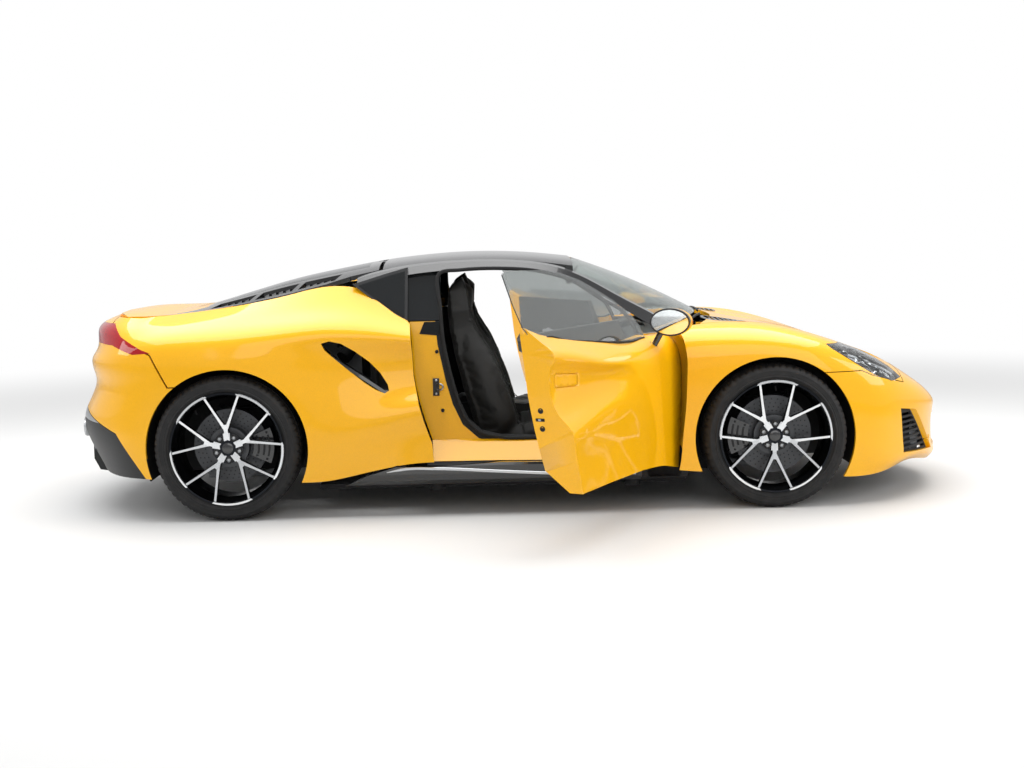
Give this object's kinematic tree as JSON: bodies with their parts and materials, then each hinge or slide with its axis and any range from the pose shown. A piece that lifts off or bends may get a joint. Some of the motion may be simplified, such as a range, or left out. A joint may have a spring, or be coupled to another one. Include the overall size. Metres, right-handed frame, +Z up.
{
  "type": "coupe car",
  "caption": "Low mid-engined two-seat coupe with opening doors, bonnet and tailgate, steered front wheels and rolling road wheels.",
  "frame": {"origin": "on the ground, under the middle of the bounding box", "axes": "+X to the nose, +Y to the car's left, +Z up"},
  "size_m": [4.4141, 3.8146, 1.2242],
  "materials": {
    "yellow_paint": "gloss",
    "black_gloss": "gloss",
    "clear_glass": "polished",
    "red_lens": "polished",
    "black_leather": "satin",
    "black_plastic": "matte",
    "aluminium": "satin",
    "tyre_rubber": "matte",
    "rim_alloy": "machined",
    "disc_iron": "machined"
  },
  "bodies": {
    "body": {"arch_liners": "black_plastic", "boot_tub": "black_plastic", "bulkheads": "aluminium", "cabin_frame": "black_gloss", "centre_console": "black_leather", "chassis_rails": "aluminium", "cowl_panel": "black_gloss", "dashboard": "black_leather", "diffuser": "black_gloss", "door_bands": "black_plastic", "engine_block": "aluminium", "floor_tub": "aluminium", "front_grille": "black_gloss", "front_suspension": "aluminium", "front_tray": "black_plastic", "front_wing_left": "yellow_paint", "front_wing_right": "yellow_paint", "headlamps": "clear_glass", "nose_panel": "yellow_paint", "quarter_glass": "clear_glass", "rear_bumper": "yellow_paint", "rear_quarter_left": "yellow_paint", "rear_quarter_right": "yellow_paint", "rear_suspension": "aluminium", "roof_panel": "black_gloss", "seat_left": "black_leather", "seat_right": "black_leather", "side_frame_left": "yellow_paint", "side_frame_right": "yellow_paint", "side_intakes": "black_gloss", "side_skirts": "black_gloss", "tail_lamps": "red_lens", "windscreen": "clear_glass"},
    "door_left": {"door_left": "yellow_paint", "door_trim_left": "black_leather", "door_glass_left": "clear_glass", "door_mirror_left": "black_gloss"},
    "door_right": {"door_right": "yellow_paint", "door_trim_right": "black_leather", "door_glass_right": "clear_glass", "door_mirror_right": "black_gloss"},
    "bonnet": {"bonnet": "yellow_paint"},
    "tailgate": {"tailgate": "yellow_paint", "tailgate_frame": "black_gloss", "tailgate_glass": "clear_glass"},
    "steering_wheel": {"steering_wheel": "black_leather"},
    "knuckle_left": {"knuckle_front_left": "aluminium"},
    "knuckle_right": {"knuckle_front_right": "aluminium"},
    "wheel_front_left": {"tyre_front_left": "tyre_rubber", "rim_front_left": "rim_alloy", "brake_disc_front_left": "disc_iron"},
    "wheel_front_right": {"tyre_front_right": "tyre_rubber", "rim_front_right": "rim_alloy", "brake_disc_front_right": "disc_iron"},
    "wheel_rear_left": {"tyre_rear_left": "tyre_rubber", "rim_rear_left": "rim_alloy", "brake_disc_rear_left": "disc_iron"},
    "wheel_rear_right": {"tyre_rear_right": "tyre_rubber", "rim_rear_right": "rim_alloy", "brake_disc_rear_right": "disc_iron"}
  },
  "joints": [
    {"name": "door_left_hinge", "type": "hinge", "parent": "body", "child": "door_left", "pos_m": [0.7, 0.862, 0.55], "axis": [0, 0, 1], "range_deg": [0, 62]},
    {"name": "door_right_hinge", "type": "hinge", "parent": "body", "child": "door_right", "pos_m": [0.7, -0.862, 0.55], "axis": [0, 0, -1], "range_deg": [0, 62]},
    {"name": "bonnet_hinge", "type": "hinge", "parent": "body", "child": "bonnet", "pos_m": [0.905, 0, 0.848], "axis": [0, -1, 0], "range_deg": [0, 50]},
    {"name": "tailgate_hinge", "type": "hinge", "parent": "body", "child": "tailgate", "pos_m": [-0.638, 0, 1.18], "axis": [0, 1, 0], "range_deg": [0, 60]},
    {"name": "steer_left", "type": "hinge", "parent": "body", "child": "knuckle_left", "pos_m": [1.2224, 0.735, 0.34], "axis": [0, 0, 1], "range_deg": [-33, 33]},
    {"name": "steer_right", "type": "hinge", "parent": "body", "child": "knuckle_right", "pos_m": [1.2224, -0.735, 0.34], "axis": [0, 0, 1], "range_deg": [-33, 33]},
    {"name": "steering_wheel_turn", "type": "hinge", "parent": "body", "child": "steering_wheel", "pos_m": [0.465, 0.37, 0.627], "axis": [-0.9272, 0, 0.3746], "range_deg": [-430, 430]},
    {"name": "front_wheel_spin_left", "type": "hinge", "parent": "knuckle_left", "child": "wheel_front_left", "pos_m": [1.2224, 0.805, 0.34], "axis": [0, 1, 0], "continuous": true},
    {"name": "rear_wheel_spin_left", "type": "hinge", "parent": "body", "child": "wheel_rear_left", "pos_m": [-1.35258, 0.792, 0.342], "axis": [0, 1, 0], "continuous": true},
    {"name": "front_wheel_spin_right", "type": "hinge", "parent": "knuckle_right", "child": "wheel_front_right", "pos_m": [1.2224, -0.805, 0.34], "axis": [0, 1, 0], "continuous": true},
    {"name": "rear_wheel_spin_right", "type": "hinge", "parent": "body", "child": "wheel_rear_right", "pos_m": [-1.35258, -0.792, 0.342], "axis": [0, 1, 0], "continuous": true}
  ],
  "couplings": [
    {"joint": "steer_right", "follows": "steer_left", "ratio": 1},
    {"joint": "steering_wheel_turn", "follows": "steer_left", "ratio": 13}
  ]
}
